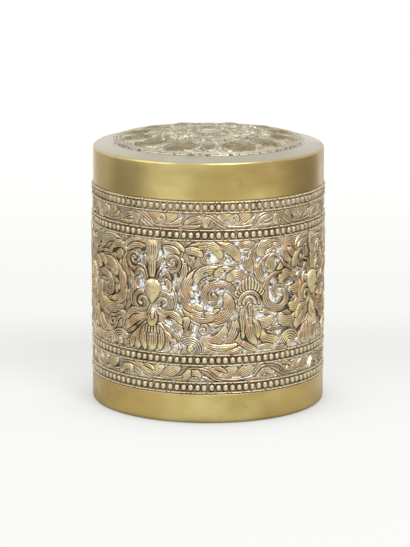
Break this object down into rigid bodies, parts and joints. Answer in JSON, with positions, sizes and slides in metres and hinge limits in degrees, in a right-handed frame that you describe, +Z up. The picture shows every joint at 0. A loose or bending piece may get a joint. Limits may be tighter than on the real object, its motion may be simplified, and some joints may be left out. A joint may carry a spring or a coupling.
{
  "type": "paan box",
  "caption": "Round brass betel box with a repousse sleeve, a drop-on domed lid on a plain collar, and a lift-out tray divided into cells.",
  "frame": {"origin": "centre of the foot, on the surface the box stands on", "axes": "+Z up through the lid, the box's axis; -Y is the side shown in front, the box being round"},
  "size_m": [0.097, 0.097, 0.1125],
  "materials": {
    "plain_brass": "satin polish",
    "repousse_brass": "chased and embossed, aged in the hollows",
    "medallion_brass": "chased and embossed, rubbed pale",
    "inner_brass": "dull, unpolished"
  },
  "bodies": {
    "box": {"base_band": "plain_brass", "bottom_plate": "inner_brass", "inner_drum": "inner_brass", "repousse_sleeve": "repousse_brass"},
    "lid": {"lid_cap": "plain_brass", "lid_medallion": "medallion_brass"},
    "tray": {"tray_pan": "inner_brass", "tray_divider_long": "inner_brass", "tray_divider_cross": "inner_brass", "tray_knob": "plain_brass"}
  },
  "joints": [
    {"name": "lid_lift", "type": "slide", "parent": "box", "child": "lid", "axis": [0, 0, 1], "range_m": [0, 0.12]},
    {"name": "tray_lift", "type": "slide", "parent": "box", "child": "tray", "axis": [0, 0, 1], "range_m": [0, 0.06]}
  ],
  "couplings": [
    {"joint": "tray_lift", "follows": "lid_lift", "ratio": 0.5}
  ]
}
